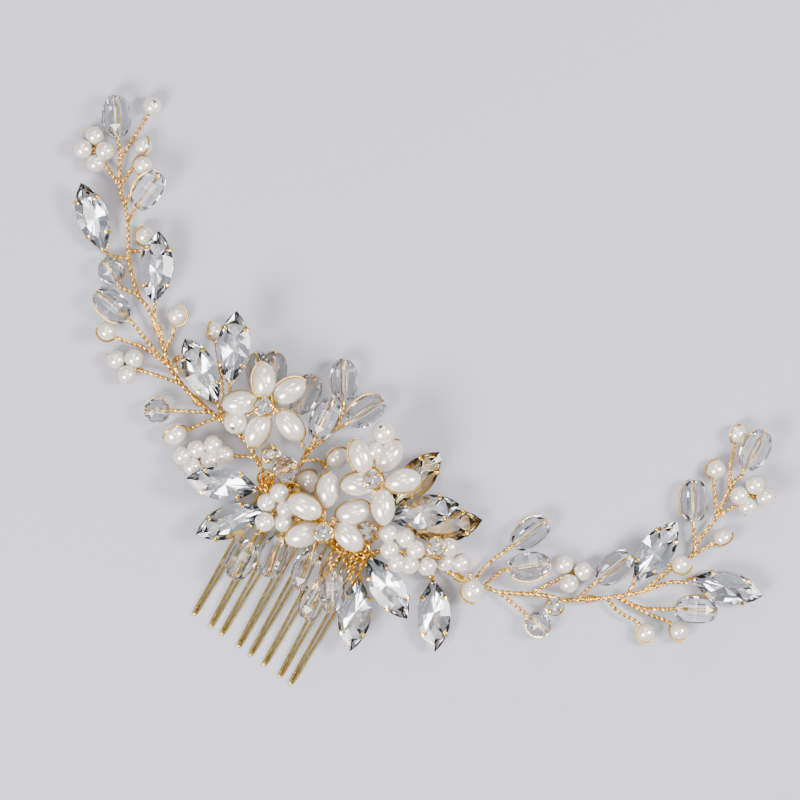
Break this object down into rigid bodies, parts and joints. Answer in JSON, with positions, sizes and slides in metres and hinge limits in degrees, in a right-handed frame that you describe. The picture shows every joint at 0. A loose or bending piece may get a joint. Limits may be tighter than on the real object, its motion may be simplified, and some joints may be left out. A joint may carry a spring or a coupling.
{
  "type": "decorative hair comb",
  "caption": "Wire hair comb with a spray of pearls, faceted crystals and claw-set stones on bendable twisted-wire stems.",
  "frame": {"origin": "centre of the spine's flat back face, the face that lies towards the scalp", "axes": "+Z out of the decorated side, away from the scalp; +X towards the long right-hand stem; +Y towards the tip of the left-hand stem"},
  "size_m": [0.1446, 0.1227, 0.0193],
  "materials": {
    "comb_gold": "drawn wire, plated pale gold",
    "wire_gold": "soft twisted wire, bright gold",
    "pearl": "ivory pearl coating",
    "crystal": "clear, cut facets",
    "champagne_crystal": "pale peach, cut facets",
    "set_stone": "foil-backed cut stone in a gold claw cup"
  },
  "bodies": {
    "comb": {"comb_wire": "comb_gold", "crystal_centre_1": "crystal", "crystal_centre_2": "crystal", "crystal_centre_3": "crystal", "crystal_centre_4": "crystal", "crystal_champagne": "champagne_crystal", "crystal_fringe_1": "crystal", "crystal_fringe_2": "crystal", "crystal_fringe_3": "crystal", "crystal_fringe_4": "crystal", "crystals_behind_flower": "crystal", "flower_front": "pearl", "flower_left": "pearl", "flower_right": "pearl", "navette_centre_1": "set_stone", "navette_centre_2": "set_stone", "navette_centre_3": "set_stone", "navette_centre_4": "set_stone", "navette_fringe_1": "set_stone", "navette_fringe_2": "set_stone", "navette_fringe_3": "set_stone", "navette_right_1": "set_stone", "navette_right_2": "set_stone", "navette_right_3": "set_stone", "pearls_centre_1": "pearl", "pearls_centre_2": "pearl", "pearls_centre_3": "pearl", "spine_binding": "wire_gold", "stem_centre": "wire_gold", "stone_centre_1": "set_stone", "stone_centre_2": "set_stone", "stone_flower_front": "set_stone", "stone_flower_left": "set_stone", "stone_flower_right": "set_stone", "stone_right_1": "set_stone"},
    "left_arm": {"stem_left": "wire_gold", "crystal_left_4": "crystal", "pearls_left_arm": "pearl", "stone_left": "set_stone"},
    "left_tip": {"stem_left_tip": "wire_gold", "crystal_left_1": "crystal", "crystal_left_2": "crystal", "crystal_left_3": "crystal", "navette_left_1": "set_stone", "navette_left_2": "set_stone", "pearls_left_tip": "pearl"},
    "right_arm": {"stem_right": "wire_gold", "crystal_right_1": "crystal", "crystal_right_2": "crystal", "crystal_right_3": "crystal", "crystal_right_4": "crystal", "stone_right_2": "set_stone", "pearls_right_arm": "pearl"},
    "right_tip": {"stem_right_tip": "wire_gold", "navette_tip_1": "set_stone", "navette_tip_2": "set_stone", "crystal_right_5": "crystal", "crystal_right_6": "crystal", "crystal_right_7": "crystal", "pearls_right_tip": "pearl"}
  },
  "joints": [
    {"name": "left_arm_swing", "type": "hinge", "parent": "comb", "child": "left_arm", "pos_m": [-0.0244, 0.02515, 0.0005], "axis": [0, 0, 1], "range_deg": [-12, 12]},
    {"name": "left_tip_lift", "type": "hinge", "parent": "left_arm", "child": "left_tip", "pos_m": [-0.0325, 0.0398, 0.0005], "axis": [0.8944, 0.4472, 0], "range_deg": [0, 35]},
    {"name": "right_arm_swing", "type": "hinge", "parent": "comb", "child": "right_arm", "pos_m": [0.02965, -0.0114, 0.0005], "axis": [0, 0, 1], "range_deg": [-12, 12]},
    {"name": "right_tip_lift", "type": "hinge", "parent": "right_arm", "child": "right_tip", "pos_m": [0.0566, -0.0158, 0.0005], "axis": [0, -1, 0], "range_deg": [0, 35]}
  ]
}
